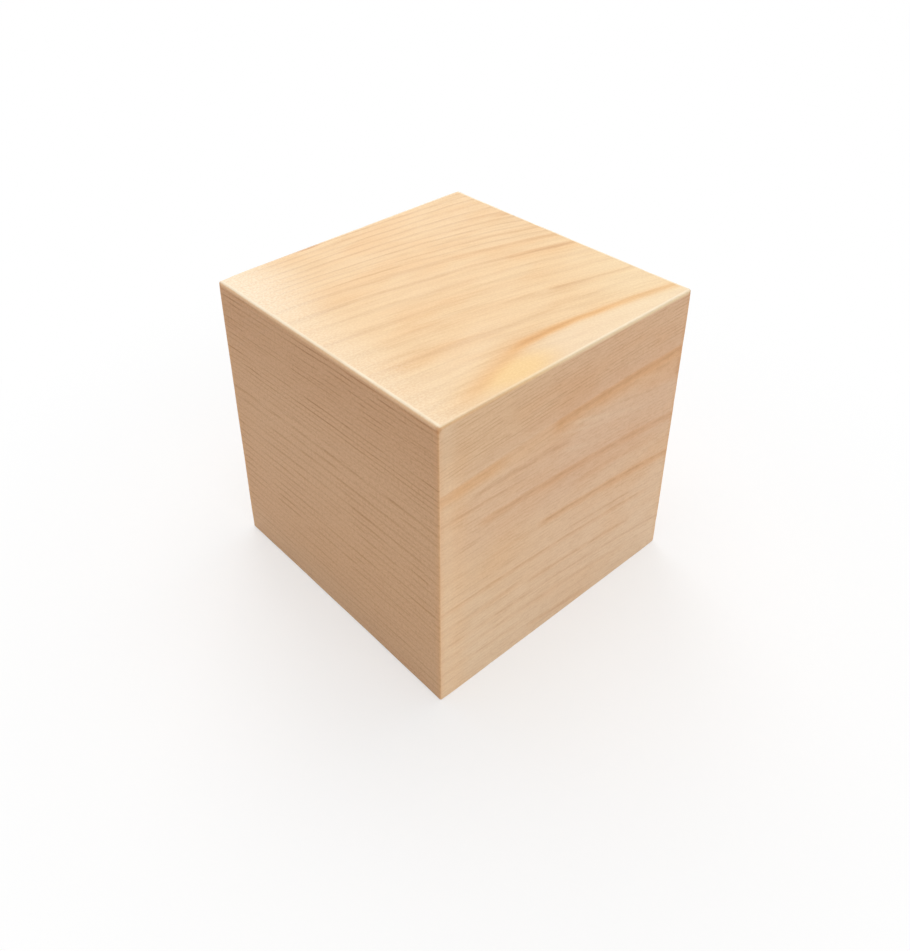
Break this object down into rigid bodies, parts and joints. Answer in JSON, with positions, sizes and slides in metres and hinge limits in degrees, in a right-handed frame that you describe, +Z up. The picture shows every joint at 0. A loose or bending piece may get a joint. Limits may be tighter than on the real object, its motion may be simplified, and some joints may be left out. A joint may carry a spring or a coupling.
{
  "type": "wooden cube",
  "caption": "Solid softwood cube with planed faces and lightly sanded edges, for use as a block, riser, spacer or craft blank.",
  "frame": {"origin": "middle of the underside", "axes": "+Z up; +Y along the grain, so the two end-grain faces look along -Y and +Y; +X across the grain"},
  "size_m": [0.075, 0.075, 0.075],
  "materials": {
    "pine": "matte"
  },
  "bodies": {
    "root": {"wooden_cube": "pine"}
  },
  "joints": []
}
